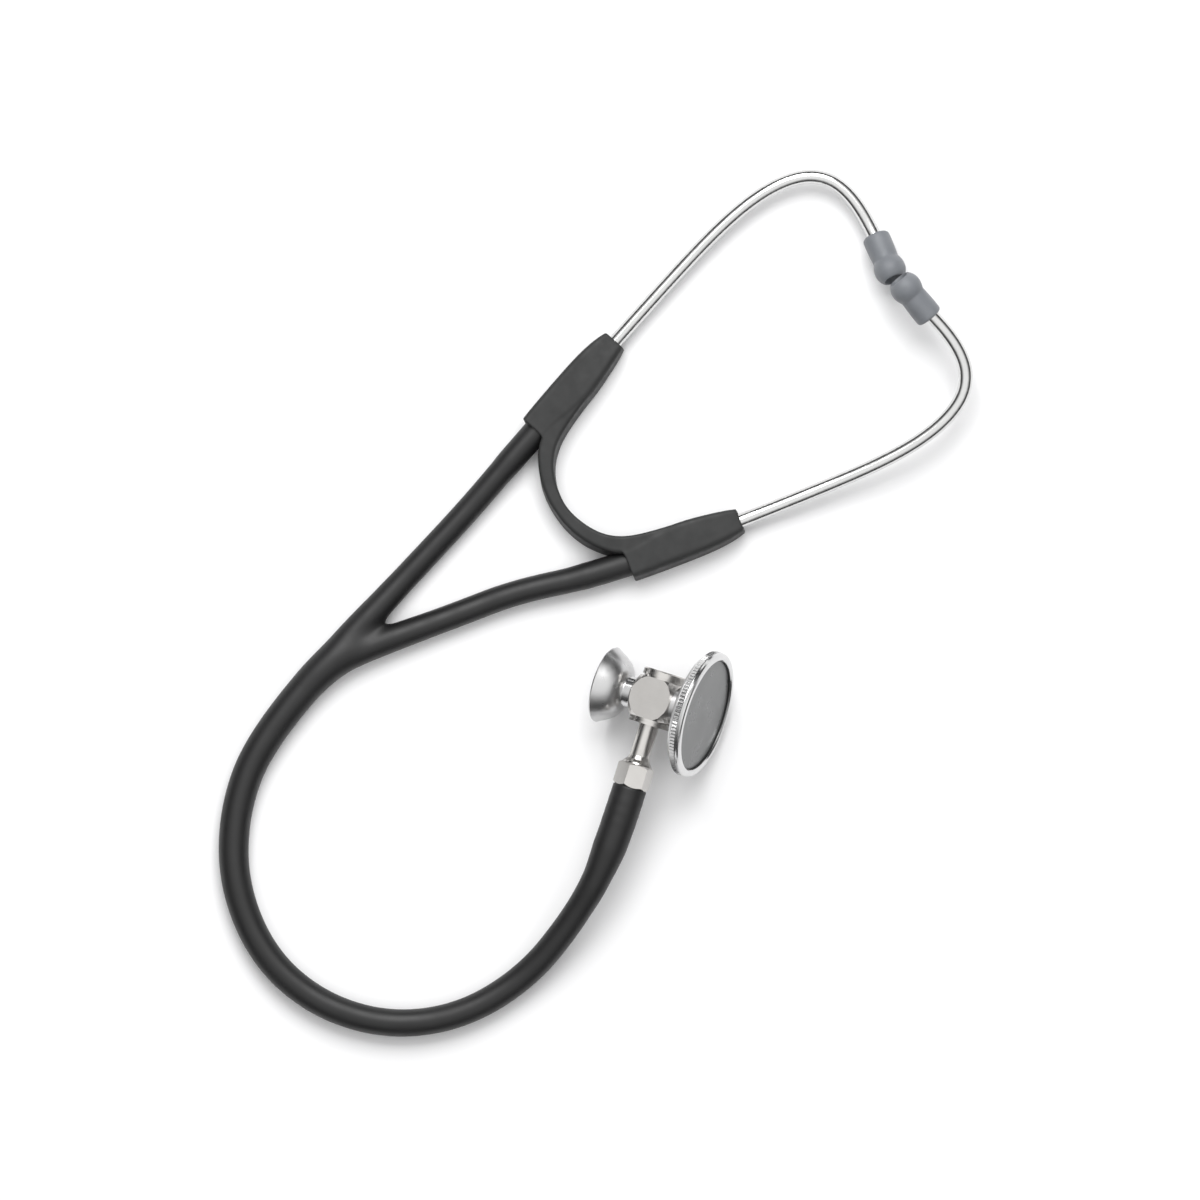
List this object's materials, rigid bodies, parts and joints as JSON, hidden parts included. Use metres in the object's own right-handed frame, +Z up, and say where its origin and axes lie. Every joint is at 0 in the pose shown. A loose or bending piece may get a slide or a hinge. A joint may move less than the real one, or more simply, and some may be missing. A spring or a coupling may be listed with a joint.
{
  "type": "stethoscope",
  "caption": "Acoustic stethoscope lying flat: sprung headset with soft ear tips, Y-shaped rubber tubing and a swivelling steel chest-piece with bell and diaphragm.",
  "frame": {"origin": "on the supporting surface, under the middle of the yoke's bow", "axes": "+Y along the middle of the headset towards the ear tips, +Z up from the supporting surface, +X towards the side where the chest-piece lies"},
  "size_m": [0.2038, 0.3637, 0.0521],
  "materials": {
    "tubing_rubber": "satin",
    "yoke_vinyl": "matte",
    "spring_steel": "blued",
    "ear_tube_steel": "polished",
    "ear_tip_silicone": "matte",
    "satin_steel": "satin",
    "bright_steel": "polished",
    "membrane_laminate": "smooth",
    "seal_rubber": "matte"
  },
  "bodies": {
    "tubing": {"yoke_bow": "yoke_vinyl", "leaf_spring": "spring_steel", "main_tube": "tubing_rubber", "y_junction": "tubing_rubber", "left_branch_tube": "tubing_rubber", "right_branch_tube": "tubing_rubber", "stem": "bright_steel", "stem_clip": "spring_steel", "stem_o_rings": "seal_rubber"},
    "left_arm": {"left_sleeve": "yoke_vinyl", "left_spring_bracket": "satin_steel", "left_ear_tube": "ear_tube_steel", "left_ear_tip": "ear_tip_silicone"},
    "right_arm": {"right_sleeve": "yoke_vinyl", "right_spring_bracket": "satin_steel", "right_ear_tube": "ear_tube_steel", "right_ear_tip": "ear_tip_silicone"},
    "head": {"valve_block": "satin_steel", "end_cap": "bright_steel", "stem_collar": "bright_steel", "detent_ball": "bright_steel", "detent_spring": "spring_steel", "detent_screw": "spring_steel", "bell_neck": "bright_steel", "bell": "satin_steel", "diaphragm_cup": "satin_steel"},
    "diaphragm": {"membrane": "membrane_laminate", "diaphragm_gasket": "seal_rubber"},
    "rim": {"retaining_rim": "bright_steel"}
  },
  "joints": [
    {"name": "left_arm_spread", "type": "hinge", "parent": "tubing", "child": "left_arm", "pos_m": [-0.0135, 0.002, 0.0065], "axis": [0, 0, 1], "range_deg": [0, 28], "stiffness_Nm_per_rad": 1.2, "deforming": ["yoke_bow", "leaf_spring", "left_branch_tube"]},
    {"name": "right_arm_spread", "type": "hinge", "parent": "tubing", "child": "right_arm", "pos_m": [0.0135, 0.002, 0.0065], "axis": [0, 0, -1], "range_deg": [0, 28], "stiffness_Nm_per_rad": 1.2, "deforming": ["yoke_bow", "leaf_spring", "right_branch_tube"]},
    {"name": "head_swivel", "type": "hinge", "parent": "tubing", "child": "head", "pos_m": [0.0807, -0.0116, 0.0217], "axis": [0.6122, -0.7907, 0], "continuous": true, "deforming": ["detent_ball", "detent_spring"]},
    {"name": "diaphragm_lift", "type": "slide", "parent": "head", "child": "diaphragm", "axis": [0.743, 0.5753, 0.342], "range_m": [0, 0.0031]},
    {"name": "rim_unscrew", "type": "hinge", "parent": "diaphragm", "child": "rim", "pos_m": [0.09407, -0.00125, 0.02786], "axis": [0.743, 0.5753, 0.342], "range_deg": [0, 1080]}
  ],
  "couplings": [
    {"joint": "diaphragm_lift", "follows": "rim_unscrew", "m_per_rad": 0.00015915}
  ]
}
